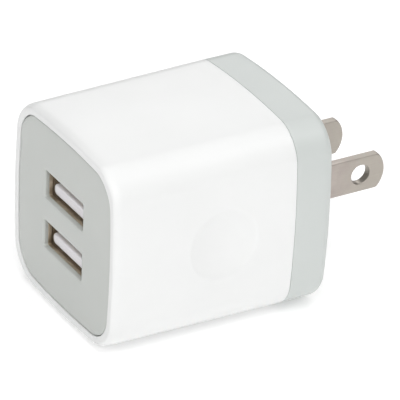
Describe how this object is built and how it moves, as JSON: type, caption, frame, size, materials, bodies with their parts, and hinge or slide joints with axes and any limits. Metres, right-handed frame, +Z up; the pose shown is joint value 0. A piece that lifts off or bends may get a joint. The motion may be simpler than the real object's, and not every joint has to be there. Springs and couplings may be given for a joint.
{
  "type": "usb wall charger",
  "caption": "Squarish mains charger with a white bowed sleeve, pale grey socket plate and rear cap, stacked USB-A sockets and fixed flat blades.",
  "frame": {"origin": "middle of the flat rear face, halfway between the two blades, in the plane that lies against the wall outlet", "axes": "+Y points out of the rear face along the blades, +Z is up with the blades upright, +X completes the right-handed set; the sockets face -Y"},
  "size_m": [0.0344, 0.0565, 0.0344],
  "materials": {
    "white_shell": "satin",
    "grey_shell": "satin",
    "blade_metal": "nickel plated, lightly brushed",
    "contact_brass": "bare",
    "black_moulding": "matte",
    "socket_steel": "tin plated",
    "socket_plastic": "matte",
    "gilt_contact": "gilt",
    "circuit_board": "lacquered",
    "insulating_sheet": "matte",
    "ferrite": "matte",
    "winding_tape": "satin",
    "capacitor_sleeve": "gloss",
    "capacitor_can": "satin",
    "copper_wire": "enamelled",
    "resistor_body": "satin",
    "disc_coating": "gloss"
  },
  "bodies": {
    "root": {"main_housing": "white_shell", "front_plate": "grey_shell", "rear_cap": "grey_shell", "blade_left": "blade_metal", "blade_right": "blade_metal", "blade_contact_left": "contact_brass", "blade_contact_right": "contact_brass", "blade_holder": "black_moulding", "transformer_former": "black_moulding", "bridge_rectifier": "black_moulding", "control_chip": "black_moulding", "usb_shell_upper": "socket_steel", "usb_shell_lower": "socket_steel", "usb_insulator_upper": "socket_plastic", "usb_insulator_lower": "socket_plastic", "usb_contact_upper_1": "gilt_contact", "usb_contact_upper_2": "gilt_contact", "usb_contact_upper_3": "gilt_contact", "usb_contact_upper_4": "gilt_contact", "usb_contact_lower_1": "gilt_contact", "usb_contact_lower_2": "gilt_contact", "usb_contact_lower_3": "gilt_contact", "usb_contact_lower_4": "gilt_contact", "main_board": "circuit_board", "port_board": "circuit_board", "board_insulator": "insulating_sheet", "transformer_core_lower": "ferrite", "transformer_core_upper": "ferrite", "transformer_winding": "winding_tape", "input_capacitor_main": "capacitor_sleeve", "input_capacitor_filter": "capacitor_sleeve", "output_capacitor_front": "capacitor_can", "output_capacitor_rear": "capacitor_can", "input_choke": "copper_wire", "fusible_resistor": "resistor_body", "safety_capacitor": "disc_coating"}
  },
  "joints": []
}
